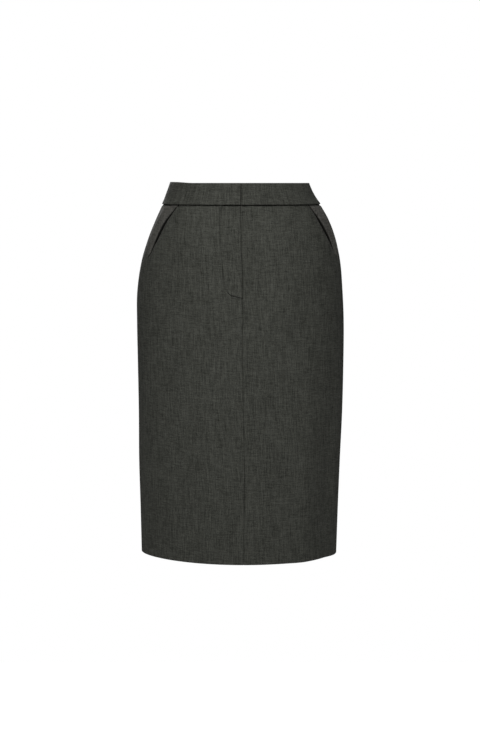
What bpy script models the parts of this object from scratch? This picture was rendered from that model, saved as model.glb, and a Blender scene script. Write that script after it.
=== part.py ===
"""A knee-length pencil skirt with nobody in it, open at the waist and the hem as it is when worn.

Blender 4.5, metres, +Z up. The front faces -Y and the wearer's left is +X. The origin is the centre
of the waist opening, level with the top edge of the waistband, where a wearer's waist holds it.
Left and right are the wearer's. A drop is a distance below the top edge, and an angle runs round
the skirt from the centre front, positive towards the wearer's left.
Every piece is a wall of cloth on one form, an oval ring at each drop, and seams are gaps of 0.3 mm.
"""

import math
from bisect import bisect_right
from collections import namedtuple

import bmesh
import bpy
from mathutils import Vector

# ---- driving sizes ----
LENGTH = 0.620  # centre front, from the top edge to the hem
BAND_DEPTH = 0.0354
SEAM_GAP = 0.0003
BAND_GAP = 0.0004  # the band's lower edge slopes with the hips
LAP_GAP = 0.0007  # between two layers that lie on each other

CLOTH = 0.0015  # suiting, with its fusing
BAND_WALL = 0.0030  # two layers of cloth round a stiffener
BAND_PROUD = 0.0010  # the band's face stands out from the panels below it
HEM_TURN = 0.040
HEM_WALL = 0.0028  # the cloth turned up on itself
HEM_STEP = 0.002  # the height over which the wall thickens at the turn's raw edge
HEM_RISE = 0.0028  # the hem is this much higher at the right side seam
HEM_RISE_FROM = 0.420  # the drop where the rise begins

FLY_END = 0.182
FLY_LAP = 0.034  # the left front reaches this far under the right front
LAP_EASE = 0.012  # the under layer dips into its lap over this distance
FLY_FADE = 0.018  # the dip dies away over this drop below the fly

BAND_LAP = 0.036

VENT_TOP = 0.440
VENT_LAP = 0.040

DART_END = 0.150
DART_PLACE = 0.50  # its share of the way from the side seam to the centre back
DART_GROOVE = 0.0006
DART_HALF_SHARE = 0.012  # half the groove's width, as a share of the panel's

SIDE_SEAM_RIGHT = math.radians(80)
SIDE_SEAM_LEFT = math.radians(86)
CENTRE_BACK = math.pi

POCKET_END = 0.165
MOUTH_END = 0.106  # below this the mouth is tacked shut
MOUTH_LIFT = 0.0016  # the front's edge stands away from the piece behind it
MOUTH_REACH = 0.045  # the lift spreads this far into the front
BEARER_LAP = math.radians(13)  # the bearer reaches this far under the front
BEARER_EASE = 0.018
BEARER_LEAST = 0.005  # the cells beyond the edge keep this width where it runs into the seam
BEARER_END = 0.178

# ---- mesh steps ----
HIP_END = 0.205  # rows are closer above this, where the form curves
HIP_STEP = 0.016
LEG_STEP = 0.034
FRONT_CELLS = 16
BACK_CELLS = 12  # an even number, so that the dart has a column
BAND_CELLS = 60
BEARER_UNDER_CELLS = 2
BEARER_SHOWN_CELLS = 6

# The form. right and left are the half widths, front and back the depths from the side plane, and
# centre is how far the front's middle lies to the left. A fullness above 0 squares the oval.
Section = namedtuple("Section", "drop right left front back centre full_front full_back")
FORM = [
    Section(0.000, 0.1146, 0.1134, 0.0920, 0.0900, 0.0008, 0.020, 0.020),
    Section(0.016, 0.1206, 0.1208, 0.0945, 0.0925, 0.0008, 0.020, 0.020),
    Section(0.036, 0.1285, 0.1330, 0.0985, 0.0970, 0.0008, 0.020, 0.020),
    Section(0.060, 0.1394, 0.1467, 0.1035, 0.1035, 0.0008, 0.020, 0.020),
    Section(0.090, 0.1516, 0.1578, 0.1090, 0.1120, 0.0015, 0.022, 0.020),
    Section(0.130, 0.1636, 0.1664, 0.1135, 0.1210, 0.0030, 0.022, 0.022),
    Section(0.180, 0.1709, 0.1706, 0.1160, 0.1280, 0.0040, 0.015, 0.022),
    Section(0.230, 0.1715, 0.1728, 0.1165, 0.1290, 0.0042, 0.008, 0.020),
    Section(0.300, 0.1705, 0.1726, 0.1160, 0.1250, 0.0042, 0.000, 0.015),
    Section(0.380, 0.1694, 0.1710, 0.1150, 0.1200, 0.0055, -0.006, 0.010),
    Section(0.460, 0.1693, 0.1676, 0.1140, 0.1150, 0.0072, -0.012, 0.006),
    Section(0.540, 0.1674, 0.1647, 0.1130, 0.1110, 0.0068, -0.018, 0.003),
    Section(0.620, 0.1658, 0.1623, 0.1130, 0.1090, 0.0058, -0.020, 0.000),
]

# The slanted edge of each front over its pocket, as angles from the centre front, in degrees. The
# last row is where the edge meets the side seam.
PocketEdge = namedtuple("PocketEdge", "drop right left")
POCKET_EDGE = [
    PocketEdge(0.036, 50.6, 56.4),
    PocketEdge(0.050, 54.6, 58.9),
    PocketEdge(0.063, 57.8, 60.6),
    PocketEdge(0.076, 59.6, 62.6),
    PocketEdge(0.089, 61.3, 65.3),
    PocketEdge(0.102, 63.8, 68.2),
    PocketEdge(0.116, 66.2, 71.1),
    PocketEdge(0.138, 70.5, 76.5),
    PocketEdge(POCKET_END, math.degrees(SIDE_SEAM_RIGHT), math.degrees(SIDE_SEAM_LEFT)),
]

SUITING = (0.048, 0.050, 0.042, 1.0)
SUITING_BEHIND_POCKET = (0.062, 0.060, 0.055, 1.0)


# ---- the form ----
def smooth(share):
    """0 to 1 with no corner at either end."""
    share = min(1.0, max(0.0, share))
    return share * share * (3 - 2 * share)


def read_table(table, drop):
    """The table's row at a drop, on a smooth curve through its rows."""
    kind = type(table[0])
    drops = [row.drop for row in table]
    drop = min(drops[-1], max(drops[0], drop))
    i = min(len(table) - 2, max(0, bisect_right(drops, drop) - 1))
    span = drops[i + 1] - drops[i]
    share = (drop - drops[i]) / span

    def slope(k, column):
        low, high = max(0, k - 1), min(len(table) - 1, k + 1)
        return (table[high][column] - table[low][column]) / (drops[high] - drops[low])

    values = [drop]
    for column in range(1, len(kind._fields)):
        start, end = table[i][column], table[i + 1][column]
        rise_out = slope(i, column) * span
        rise_in = slope(i + 1, column) * span
        values.append(
            start * (1 + 2 * share) * (1 - share) ** 2
            + end * (3 - 2 * share) * share**2
            + rise_out * share * (1 - share) ** 2
            - rise_in * share**2 * (1 - share)
        )
    return kind(*values)


def on_form(angle, drop):
    """The point of the form at an angle and a drop."""
    ring = read_table(FORM, drop)
    across, along = math.sin(angle), math.cos(angle)
    in_front = along >= 0
    depth = ring.front if in_front else ring.back
    fullness = ring.full_front if in_front else ring.full_back
    swell = 1 + fullness * math.sin(2 * angle) ** 2
    half = (ring.right + ring.left) / 2 + (ring.left - ring.right) / 2 * across
    middle = ring.centre * max(0.0, along) ** 2
    rise = HEM_RISE * smooth((drop - HEM_RISE_FROM) / (LENGTH - HEM_RISE_FROM))
    height = rise * max(0.0, -across) ** 3 - drop
    return Vector((half * across * swell + middle, -depth * along * swell, height))


def outward(angle, drop):
    """The form's outward normal."""
    step_angle, step_drop = 0.002, 0.001
    round_it = on_form(angle + step_angle, drop) - on_form(angle - step_angle, drop)
    below, above = min(LENGTH, drop + step_drop), max(0.0, drop - step_drop)
    down = on_form(angle, below) - on_form(angle, above)
    return down.cross(round_it).normalized()


def turn(distance, angle, drop):
    """The change of angle that a distance round the skirt makes."""
    step = 0.002
    speed = (on_form(angle + step, drop) - on_form(angle - step, drop)).length / (2 * step)
    return distance / speed


def distance_round(start, end, drop):
    """The distance round the form between two angles, positive where end is the larger."""
    steps = 6
    angles = [start + (end - start) * k / steps for k in range(steps + 1)]
    points = [on_form(angle, drop) for angle in angles]
    length = sum((b - a).length for a, b in zip(points, points[1:]))
    return math.copysign(length, end - start)


# ---- rows and columns ----
def rows_through(*marks):
    """Drops from the first mark to the last, through each of them, closer over the hips."""
    rows = [marks[0]]
    for start, end in zip(marks, marks[1:]):
        step = HIP_STEP if end <= HIP_END else LEG_STEP
        cells = max(1, round((end - start) / step))
        rows += [start + (end - start) * k / cells for k in range(1, cells + 1)]
    return rows


def spread(start, end, cells):
    """cells + 1 even values from start to end."""
    return [start + (end - start) * k / cells for k in range(cells + 1)]


PANEL_TOP = BAND_DEPTH + BAND_GAP
TURN_TOP = LENGTH - HEM_TURN


def cloth_wall(drop):
    """The wall of a panel: one layer, and two where the hem is turned up."""
    return CLOTH + (HEM_WALL - CLOTH) * smooth((drop - TURN_TOP + HEM_STEP) / HEM_STEP)


# ---- making a piece ----
def material(name, colour, roughness):
    made = bpy.data.materials.new(name)
    made.use_nodes = True
    shader = made.node_tree.nodes["Principled BSDF"]
    shader.inputs["Base Color"].default_value = colour
    shader.inputs["Roughness"].default_value = roughness
    made.diffuse_color = colour
    return made


def make_wall(name, rows, columns, sunk, wall, finish, group, keep=None):
    """A piece of cloth as a closed wall.

    rows holds drops, and columns(drop) the angles of that row's points. sunk(angle, drop) is how
    far the outer face lies inside the form, and wall(drop) the thickness. keep(row, column) says
    which cells the piece has.
    """
    mesh = bmesh.new()
    faces_out, inner_place = {}, {}
    grid = [columns(drop) for drop in rows]
    for r, drop in enumerate(rows):
        for c, angle in enumerate(grid[r]):
            point, normal = on_form(angle, drop), outward(angle, drop)
            depth = sunk(angle, drop)
            corner = mesh.verts.new(point - normal * depth)
            faces_out[r, c] = corner
            inner_place[corner] = point - normal * (depth + wall(drop))
    for r in range(len(rows) - 1):
        for c in range(len(grid[r]) - 1):
            if keep is None or keep(r, c):
                corners = [faces_out[r, c], faces_out[r + 1, c], faces_out[r + 1, c + 1], faces_out[r, c + 1]]
                mesh.faces.new(corners)
    unused = [vert for vert in mesh.verts if not vert.link_faces]
    for vert in unused:
        del inner_place[vert]
    bmesh.ops.delete(mesh, geom=unused, context="VERTS")

    outer = list(mesh.verts)
    mesh.verts.index_update()
    places = {vert.index: inner_place[vert] for vert in outer}
    lookup = {tuple(round(x, 7) for x in vert.co): vert.index for vert in outer}
    extruded = bmesh.ops.extrude_face_region(mesh, geom=list(mesh.faces), use_keep_orig=True)
    for element in extruded["geom"]:
        if isinstance(element, bmesh.types.BMVert):
            element.co = places[lookup[tuple(round(x, 7) for x in element.co)]]
    bmesh.ops.recalc_face_normals(mesh, faces=mesh.faces)

    data = bpy.data.meshes.new(name)
    mesh.to_mesh(data)
    mesh.free()
    data.shade_smooth()
    data.set_sharp_from_angle(angle=math.radians(40))
    data.materials.append(finish)
    piece = bpy.data.objects.new(name, data)
    bpy.context.scene.collection.objects.link(piece)
    piece.parent = group
    return piece


# ---- the pieces ----
def make_waistband(finish, group):
    """One strip round the waist. Its right end lies on its left end at the centre front."""

    def columns(drop):
        start = -turn(BAND_LAP, 0, drop)
        dip = turn(LAP_EASE, 0, drop)
        lap_end = 2 * math.pi - turn(SEAM_GAP / 2, 0, drop)
        return spread(start, 0, 3) + [dip / 2] + spread(dip, lap_end, BAND_CELLS)

    def sunk(angle, drop):
        lap = BAND_WALL + LAP_GAP
        rise = smooth(distance_round(0, angle, drop) / LAP_EASE) if angle < 0.5 else 1.0
        return lap * (1 - rise) - BAND_PROUD

    rows = spread(0, BAND_DEPTH, 2)
    return make_wall("waistband", rows, columns, sunk, lambda drop: BAND_WALL, finish, group)


def pocket_edge(side, drop):
    """The angle of a front's outer edge, which is the pocket's edge above the side seam."""
    row = read_table(POCKET_EDGE, drop)
    return math.radians(row.left if side > 0 else row.right)


def side_seam(side):
    return SIDE_SEAM_LEFT if side > 0 else SIDE_SEAM_RIGHT


def mouth_lift(side, angle, drop):
    """How far the front's edge stands away from the pocket behind it."""
    opening = (drop - PANEL_TOP) / (MOUTH_END - PANEL_TOP)
    if not 0 < opening < 1:
        return 0.0
    inside = distance_round(abs(angle), pocket_edge(side, drop), drop)
    return MOUTH_LIFT * math.sin(math.pi * opening) * smooth(1 - inside / MOUTH_REACH)


def front_rows():
    return rows_through(PANEL_TOP, POCKET_END, FLY_END, HIP_END, TURN_TOP - HEM_STEP, TURN_TOP, LENGTH)


def front_edge(side, drop):
    """The front's outer edge, half a seam gap short of the seam where it has met it."""
    edge = pocket_edge(side, drop)
    seam = side_seam(side) - turn(SEAM_GAP / 2, side_seam(side), drop)
    return min(edge, seam)


def make_front_right(finish, group):
    """The front that laps over at the fly."""

    def columns(drop):
        return spread(-front_edge(-1, drop), -turn(SEAM_GAP / 2, 0, drop), FRONT_CELLS)

    def sunk(angle, drop):
        return -mouth_lift(-1, angle, drop)

    return make_wall("front_right", front_rows(), columns, sunk, cloth_wall, finish, group)


def make_front_left(finish, group):
    """The front that goes under at the fly, with the lap that it passes under there."""
    lap_columns = 3

    def columns(drop):
        seam = turn(SEAM_GAP / 2, 0, drop)
        dip = turn(LAP_EASE, 0, drop)
        under = spread(-turn(FLY_LAP, 0, drop), seam, lap_columns)
        return under + [dip / 2] + spread(dip, front_edge(1, drop), FRONT_CELLS)

    def sunk(angle, drop):
        rise = smooth(distance_round(0, angle, drop) / LAP_EASE) if angle < 0.5 else 1.0
        fade = 1 - smooth((drop - FLY_END) / FLY_FADE)
        return (CLOTH + LAP_GAP) * (1 - rise) * fade - mouth_lift(1, angle, drop)

    rows = front_rows()

    def keep(row, column):
        return column >= lap_columns or rows[row + 1] <= FLY_END + SEAM_GAP

    return make_wall("front_left", rows, columns, sunk, cloth_wall, finish, group, keep)


def make_bearer(name, side, finish, group):
    """The piece of the hip that shows beyond the pocket's edge and reaches in behind it."""

    def columns(drop):
        outer = side_seam(side) - turn(SEAM_GAP / 2, side_seam(side), drop)
        inner = pocket_edge(side, drop) - BEARER_LAP
        edge = min(pocket_edge(side, drop), outer - turn(BEARER_LEAST, outer, drop))
        angles = spread(inner, edge, BEARER_UNDER_CELLS)[:-1] + spread(edge, outer, BEARER_SHOWN_CELLS)
        return angles if side > 0 else [-angle for angle in reversed(angles)]

    def sunk(angle, drop):
        beyond = distance_round(pocket_edge(side, drop), abs(angle), drop)
        return (CLOTH + LAP_GAP) * (1 - smooth(beyond / BEARER_EASE))

    rows = rows_through(PANEL_TOP, POCKET_END, BEARER_END)
    return make_wall(name, rows, columns, sunk, lambda drop: CLOTH, finish, group)


def dart_groove(share, drop):
    """How deep the dart's stitched line pulls in, by the share of the way to the centre back."""
    if abs(share - DART_PLACE) > DART_HALF_SHARE / 2:
        return 0.0
    return DART_GROOVE * smooth((DART_END - drop) / (DART_END - PANEL_TOP) * 4)


def back_shares():
    """Shares of the way from the side seam to the centre back, with three columns at the dart."""
    even = spread(0, 1, BACK_CELLS)
    beside = [DART_PLACE - DART_HALF_SHARE, DART_PLACE + DART_HALF_SHARE]
    return sorted(even + beside)


def back_rows():
    return rows_through(PANEL_TOP, DART_END, HIP_END, VENT_TOP, TURN_TOP - HEM_STEP, TURN_TOP, LENGTH)


def back_angle(side, share, drop):
    seam, gap = side_seam(side), SEAM_GAP / 2
    start = seam + turn(gap, seam, drop)
    end = CENTRE_BACK - turn(gap, CENTRE_BACK, drop)
    return side * (start + (end - start) * share)


def back_share(side, angle, drop):
    """The share of the way to the centre back at an angle."""
    first, last = back_angle(side, 0, drop), back_angle(side, 1, drop)
    return (angle - first) / (last - first)


def make_back_left(finish, group):
    """The back that lies on top at the vent."""

    def columns(drop):
        return [back_angle(1, share, drop) for share in back_shares()]

    def sunk(angle, drop):
        return dart_groove(back_share(1, angle, drop), drop)

    return make_wall("back_left", back_rows(), columns, sunk, cloth_wall, finish, group)


def make_back_right(finish, group):
    """The back that goes under at the vent, with its lap."""
    lap_columns = 3
    rows = back_rows()

    def past_centre(angle, drop):
        """How far an angle lies past the centre back, under the left back."""
        return distance_round(-CENTRE_BACK, angle, drop)

    def columns(drop):
        lap = turn(VENT_LAP, CENTRE_BACK, drop)
        under = spread(-CENTRE_BACK - lap, back_angle(-1, 1, drop), lap_columns)
        ease = turn(LAP_EASE, CENTRE_BACK, drop)
        panel = [back_angle(-1, share, drop) for share in reversed(back_shares())]
        return under + [-CENTRE_BACK + ease / 2, -CENTRE_BACK + ease] + panel[1:]

    def sunk(angle, drop):
        rise = smooth(past_centre(angle, drop) / LAP_EASE)
        vent = smooth((drop - VENT_TOP + FLY_FADE) / FLY_FADE)
        lap = (cloth_wall(drop) + LAP_GAP) * (1 - rise) * vent
        return lap + dart_groove(back_share(-1, angle, drop), drop)

    def keep(row, column):
        return column >= lap_columns or rows[row] >= VENT_TOP - SEAM_GAP

    return make_wall("back_right", rows, columns, sunk, cloth_wall, finish, group, keep)


def clear_scene():
    for thing in list(bpy.data.objects):
        bpy.data.objects.remove(thing, do_unlink=True)


def main():
    clear_scene()
    cloth = material("suiting", SUITING, 0.85)
    under = material("suiting_behind_pocket", SUITING_BEHIND_POCKET, 0.88)
    skirt = bpy.data.objects.new("pencil_skirt", None)
    bpy.context.scene.collection.objects.link(skirt)

    make_waistband(cloth, skirt)
    make_front_right(cloth, skirt)
    make_front_left(cloth, skirt)
    make_back_right(cloth, skirt)
    make_back_left(cloth, skirt)
    make_bearer("pocket_bearer_right", -1, under, skirt)
    make_bearer("pocket_bearer_left", 1, under, skirt)


main()
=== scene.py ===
"""Dresses the pencil skirt: fine cloth over each solid, its seams, folds and stitching, and the studio.

Metres, +Z up, the front faces -Y and the wearer's left is +X. A drop is a distance below the top
edge of the waistband. An angle runs round the skirt from the centre front, in radians, positive
towards the wearer's left. A height is a distance outwards from the form that all the cloth lies on.
"""

import logging
import math
from dataclasses import dataclass, field
from enum import Enum
from typing import NamedTuple

import bpy
import numpy as np
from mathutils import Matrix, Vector

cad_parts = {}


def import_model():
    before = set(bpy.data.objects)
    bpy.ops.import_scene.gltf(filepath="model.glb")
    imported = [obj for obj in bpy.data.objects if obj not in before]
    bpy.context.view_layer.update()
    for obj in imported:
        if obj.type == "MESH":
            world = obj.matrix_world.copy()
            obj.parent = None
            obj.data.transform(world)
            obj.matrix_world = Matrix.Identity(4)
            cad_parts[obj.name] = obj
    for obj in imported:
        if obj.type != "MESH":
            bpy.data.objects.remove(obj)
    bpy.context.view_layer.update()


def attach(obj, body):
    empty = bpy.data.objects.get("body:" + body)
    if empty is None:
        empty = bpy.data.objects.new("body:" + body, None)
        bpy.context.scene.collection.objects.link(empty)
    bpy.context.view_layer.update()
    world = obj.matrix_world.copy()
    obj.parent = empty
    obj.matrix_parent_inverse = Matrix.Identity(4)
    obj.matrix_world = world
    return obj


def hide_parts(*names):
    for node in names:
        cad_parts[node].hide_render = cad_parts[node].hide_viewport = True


Array = np.ndarray
Point = tuple[float, float, float]
Colour = tuple[float, float, float]
log = logging.getLogger("pencil_skirt")

BODY = "root"
MM = 0.001
WHITE = (1.0, 1.0, 1.0, 1.0)

LENGTH = 0.620  # from the band's top edge to the hem
BAND_DEPTH = 0.0354
PANEL_TOP = BAND_DEPTH - 5 * MM  # the panels' top edges lie inside the band
HEM_TURN = 0.040
FLY_END = 0.1815
FLY_FOOT = 0.178
VENT_TOP = 0.440
DART_END = 0.150
POCKET_END = 0.165
MOUTH_TOP = 0.0358  # the stretch of a pocket's edge that stands open
MOUTH_END = 0.117
PAINTED_LIGHT_END = 0.136  # where the painted highlight at the side of the hip has faded into the plain cloth
PAINTED_LIGHT_RUN = 0.040
HEM_RISE = 0.0028  # of the hem at the wearer's right
HEM_RISE_FROM = 0.420
SEAM_RIGHT = math.radians(80)
SEAM_LEFT = math.radians(86)

CLOTH = 0.9 * MM
NAP = 0.4 * MM  # the height of the cloth's face over the form
ALLOWANCE = 13 * MM
ROLL = 0.75 * MM  # the radius of a turned edge
SEAM_ROLL = 1.3 * MM
SIDE_ROLL = 0.8 * MM
HEM_ROLL = 0.9 * MM
UNDER_EDGE = 0.8 * MM  # where a lap's nearest column lies behind the edge above it
CREASE_RADIUS = 0.150  # turns a crease's angle into a distance round


class Side(Enum):
    """The wearer's side that a piece lies on, as the sign of its angles."""

    RIGHT = -1
    LEFT = 1

    @property
    def seam(self) -> float:
        """The size of the angle of its side seam."""
        return SEAM_LEFT if self is Side.LEFT else SEAM_RIGHT

    def node(self, kind: str) -> str:
        """The name of its solid of a kind."""
        return f"{kind}_{self.name.lower()}"


class Slot(Enum):
    """The material slots."""

    SUITING = "suiting"
    BEHIND_POCKET = "suiting_behind_pocket"


class Section(NamedTuple):
    """The form at one drop: half widths, depths, the middle's shift and the oval's fullness."""

    drop: float
    right: float
    left: float
    front: float
    back: float
    centre: float
    full_front: float
    full_back: float


class PocketEdge(NamedTuple):
    """The angle of each front's slanted edge at one drop, in degrees from the centre front."""

    drop: float
    right: float
    left: float


class Crease(NamedTuple):
    """A soft ridge, or a trough where its height is below 0."""

    angle: float  # of its middle, in degrees
    drop: float  # of its middle
    lean: float  # from the vertical, in degrees, positive where its foot lies further left
    half_width: float
    half_length: float
    height: float


FORM_SECTIONS = (
    Section(0.000, 0.1146, 0.1134, 0.0920, 0.0900, 0.0008, 0.020, 0.020),
    Section(0.016, 0.1206, 0.1208, 0.0945, 0.0925, 0.0008, 0.020, 0.020),
    Section(0.036, 0.1285, 0.1330, 0.0985, 0.0970, 0.0008, 0.020, 0.020),
    Section(0.060, 0.1394, 0.1467, 0.1035, 0.1035, 0.0008, 0.020, 0.020),
    Section(0.090, 0.1516, 0.1578, 0.1090, 0.1120, 0.0015, 0.022, 0.020),
    Section(0.130, 0.1636, 0.1664, 0.1135, 0.1210, 0.0030, 0.022, 0.022),
    Section(0.180, 0.1709, 0.1706, 0.1160, 0.1280, 0.0040, 0.015, 0.022),
    Section(0.230, 0.1715, 0.1728, 0.1165, 0.1290, 0.0042, 0.008, 0.020),
    Section(0.300, 0.1705, 0.1726, 0.1160, 0.1250, 0.0042, 0.000, 0.015),
    Section(0.380, 0.1694, 0.1710, 0.1150, 0.1200, 0.0055, -0.006, 0.010),
    Section(0.460, 0.1693, 0.1676, 0.1140, 0.1150, 0.0072, -0.012, 0.006),
    Section(0.540, 0.1674, 0.1647, 0.1130, 0.1110, 0.0068, -0.018, 0.003),
    Section(0.620, 0.1658, 0.1623, 0.1130, 0.1090, 0.0058, -0.020, 0.000),
)

POCKET_EDGES = (
    PocketEdge(0.036, 50.6, 56.4),
    PocketEdge(0.050, 54.6, 58.9),
    PocketEdge(0.063, 57.8, 60.6),
    PocketEdge(0.076, 59.6, 62.6),
    PocketEdge(0.089, 61.3, 65.3),
    PocketEdge(0.102, 63.8, 68.2),
    PocketEdge(0.116, 66.2, 71.1),
    PocketEdge(0.138, 70.5, 76.5),
    PocketEdge(POCKET_END, math.degrees(SEAM_RIGHT), math.degrees(SEAM_LEFT)),
)

CREASES = (
    # the fronts
    Crease(37, 0.500, 0, 0.022, 0.200, 3.9 * MM),
    Crease(62, 0.500, 0, 0.026, 0.200, -4.6 * MM),
    Crease(-65, 0.122, 2, 0.0045, 0.014, -1.5 * MM),
    Crease(-59, 0.124, 2, 0.007, 0.016, 0.5 * MM),
    Crease(66, 0.129, 84, 0.0025, 0.010, -0.7 * MM),
    Crease(-30, 0.250, 2, 0.022, 0.120, 0.5 * MM),
    Crease(-18, 0.430, -3, 0.018, 0.110, -0.4 * MM),
    Crease(14, 0.500, 2, 0.016, 0.090, -0.4 * MM),
    Crease(-48, 0.480, 3, 0.020, 0.120, 0.6 * MM),
    # the backs
    Crease(-150, 0.500, 2, 0.020, 0.120, 0.7 * MM),
    Crease(-128, 0.420, -4, 0.022, 0.140, -0.6 * MM),
    Crease(138, 0.470, 3, 0.022, 0.130, 0.7 * MM),
    Crease(160, 0.360, -6, 0.016, 0.080, -0.5 * MM),
    Crease(-168, 0.330, 8, 0.014, 0.060, -0.5 * MM),
    Crease(112, 0.330, 0, 0.020, 0.120, 0.5 * MM),
)

# the stitched edge of the fly, as (distance from the centre front, drop): its straight, then its foot
FLY_STRAIGHT = (
    (0.0349, 0.0300), (0.0345, 0.0500), (0.0339, 0.0620), (0.0334, 0.0900), (0.0326, 0.1180),
    (0.0316, 0.1360), (0.0308, 0.1480), (0.0300, 0.1560), (0.0286, 0.1640),
)  # fmt: skip
FLY_LINE = FLY_STRAIGHT + (
    (0.0262, 0.1710), (0.0230, 0.1766), (0.0187, 0.1797), (0.0122, 0.1816), (0.0060, 0.1829),
    (0.0004, 0.1842),
)  # fmt: skip


# ---- shaping ----
def smooth(share: Array | float) -> Array:
    """0 to 1 with no corner at either end."""
    share = np.clip(share, 0.0, 1.0)
    return share * share * (3 - 2 * share)


def fade(distance: Array, reach: float) -> Array:
    """1 at a distance of 0 and below, falling smoothly to 0 at the reach."""
    return 1 - smooth(distance / reach)


def bell(distance: Array, width: Array | float) -> Array:
    """1 at a distance of 0, falling on both sides, to 0.37 at the width."""
    return np.exp(-((distance / width) ** 2))


def rolled(distance: Array, radius: float = ROLL) -> Array:
    """How far a rounded edge has turned inwards, at a distance from that edge."""
    inside = np.clip(1 - distance / radius, 0.0, 1.0)
    return radius * (1 - np.sqrt(1 - inside**2))


def steps(*runs: tuple[float, float]) -> Array:
    """Distances from 0, in runs of even steps.

    Args:
        runs: pairs of the distance where a run ends and the size of its steps.

    Returns:
        The distances, from 0 to the last run's end.
    """
    out = [0.0]
    for end, step in runs:
        count = max(1, round((end - out[-1]) / step))
        out += list(np.linspace(out[-1], end, count + 1)[1:])
    return np.array(out)


def seam_steps() -> Array:
    """Distances from a seam, close over its roll, with a pair at the edge of its turning."""
    close = steps((1.0 * MM, 0.2 * MM), (4 * MM, 0.8 * MM), (12 * MM, 1.6 * MM))
    return np.append(close, [ALLOWANCE - 0.3 * MM, ALLOWANCE + 0.3 * MM, 18 * MM])


def both_ways(*distances: float) -> Array:
    """Distances on both sides of a line, and 0 between them."""
    return np.array([*(-d for d in reversed(distances)), 0.0, *distances])


def between(start: float, end: float, step: float) -> Array:
    """Even values from start to end, both included, about a step apart."""
    return np.linspace(start, end, max(2, round((end - start) / step) + 1))


def fill(first: Array, last: Array, count: int) -> Array:
    """Even columns of angles, from the last column of one block to the first of another.

    Args:
        first: the block before them.
        last: the block after them.
        count: how many columns there are.

    Returns:
        The columns between the blocks.
    """
    share = np.linspace(0, 1, count + 2)[None, 1:-1]
    return first[:, -1:] + (last[:, :1] - first[:, -1:]) * share


def read_table(table: tuple, drop: Array) -> Array:
    """The rows of a table at many drops, on a smooth curve through its rows.

    Args:
        table: named tuples whose first column is the drop.
        drop: the drops to read at, of any shape.

    Returns:
        An array of drop's shape with one more axis, which holds the columns after the drop.
    """
    rows = np.array(table, float)
    knots, values = rows[:, 0], rows[:, 1:]
    last = len(knots) - 1
    low, high = np.maximum(np.arange(last + 1) - 1, 0), np.minimum(np.arange(last + 1) + 1, last)
    slopes = (values[high] - values[low]) / (knots[high] - knots[low])[:, None]
    drop = np.clip(drop, knots[0], knots[-1])
    i = np.clip(np.searchsorted(knots, drop, side="right") - 1, 0, last - 1)
    span = (knots[i + 1] - knots[i])[..., None]
    t = (drop[..., None] - knots[i][..., None]) / span
    return (
        values[i] * (1 + 2 * t) * (1 - t) ** 2
        + values[i + 1] * (3 - 2 * t) * t**2
        + slopes[i] * span * t * (1 - t) ** 2
        - slopes[i + 1] * span * t**2 * (1 - t)
    )


@dataclass(frozen=True)
class Form:
    """The surface that all the cloth lies on, the same as the solids'."""

    sections: tuple = FORM_SECTIONS
    angle_step: float = 0.002  # the steps over which slopes are taken
    drop_step: float = 0.001

    def place(self, angle: Array, drop: Array) -> Array:
        """The form's points.

        Args:
            angle: the angles.
            drop: the drops.

        Returns:
            The points, with their coordinates on the last axis.
        """
        right, left, front, back, centre, full_front, full_back = np.moveaxis(
            read_table(self.sections, drop), -1, 0
        )
        across, along = np.sin(angle), np.cos(angle)
        ahead = along >= 0
        depth = np.where(ahead, front, back)
        swell = 1 + np.where(ahead, full_front, full_back) * np.sin(2 * angle) ** 2
        half = (right + left) / 2 + (left - right) / 2 * across
        middle = centre * np.maximum(0.0, along) ** 2
        rise = HEM_RISE * smooth((drop - HEM_RISE_FROM) / (LENGTH - HEM_RISE_FROM))
        height = rise * np.maximum(0.0, -across) ** 3 - drop
        return np.stack([half * across * swell + middle, -depth * along * swell, height], axis=-1)

    def around(self, angle: Array, drop: Array) -> Array:
        """The way from a step before an angle to a step past it."""
        return self.place(angle + self.angle_step, drop) - self.place(angle - self.angle_step, drop)

    def normal(self, angle: Array, drop: Array) -> Array:
        """The form's outward normals.

        Args:
            angle: the angles.
            drop: the drops.

        Returns:
            The unit normals.
        """
        below = np.minimum(LENGTH, drop + self.drop_step)
        above = np.maximum(0.0, drop - self.drop_step)
        down = self.place(angle, below) - self.place(angle, above)
        cross = np.cross(down, self.around(angle, drop))
        return cross / np.linalg.norm(cross, axis=-1, keepdims=True)

    def turn(self, distance: Array | float, angle: Array | float, drop: Array) -> Array:
        """The change of angle that a short distance round the skirt makes.

        Args:
            distance: the distance round.
            angle: where it starts.
            drop: the drops.

        Returns:
            The change of angle.
        """
        ends = self.around(angle + 0 * drop, drop)
        return distance * 2 * self.angle_step / np.linalg.norm(ends, axis=-1)


FORM = Form()


def pocket_edge(side: Side, drop: Array) -> Array:
    """The size of the angle of a front's outer edge."""
    return np.radians(read_table(POCKET_EDGES, drop)[..., 1 if side is Side.LEFT else 0])


def mouth(drop: Array) -> Array:
    """How far the pocket's mouth stands open at a drop, from 0 to 1."""
    share = np.clip((drop - MOUTH_TOP) / (MOUTH_END - MOUTH_TOP), 0.0, 1.0)
    return np.sin(math.pi * share) ** 0.5


def fly_line(cuts: int, rounds: int) -> Array:
    """The fly's line in short legs, with its corners rounded off.

    Args:
        cuts: how many legs go between two points of the line.
        rounds: how often each point is averaged with its neighbours.

    Returns:
        The points, as distances from the centre front and drops.
    """
    line = np.array(FLY_LINE)
    legs = [np.linspace(a, b, cuts + 1)[:-1] for a, b in zip(line, line[1:])]
    fine = np.concatenate([*legs, line[-1:]])
    for _ in range(rounds):
        fine[1:-1] = (fine[:-2] + 2 * fine[1:-1] + fine[2:]) / 4
    return fine


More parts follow.
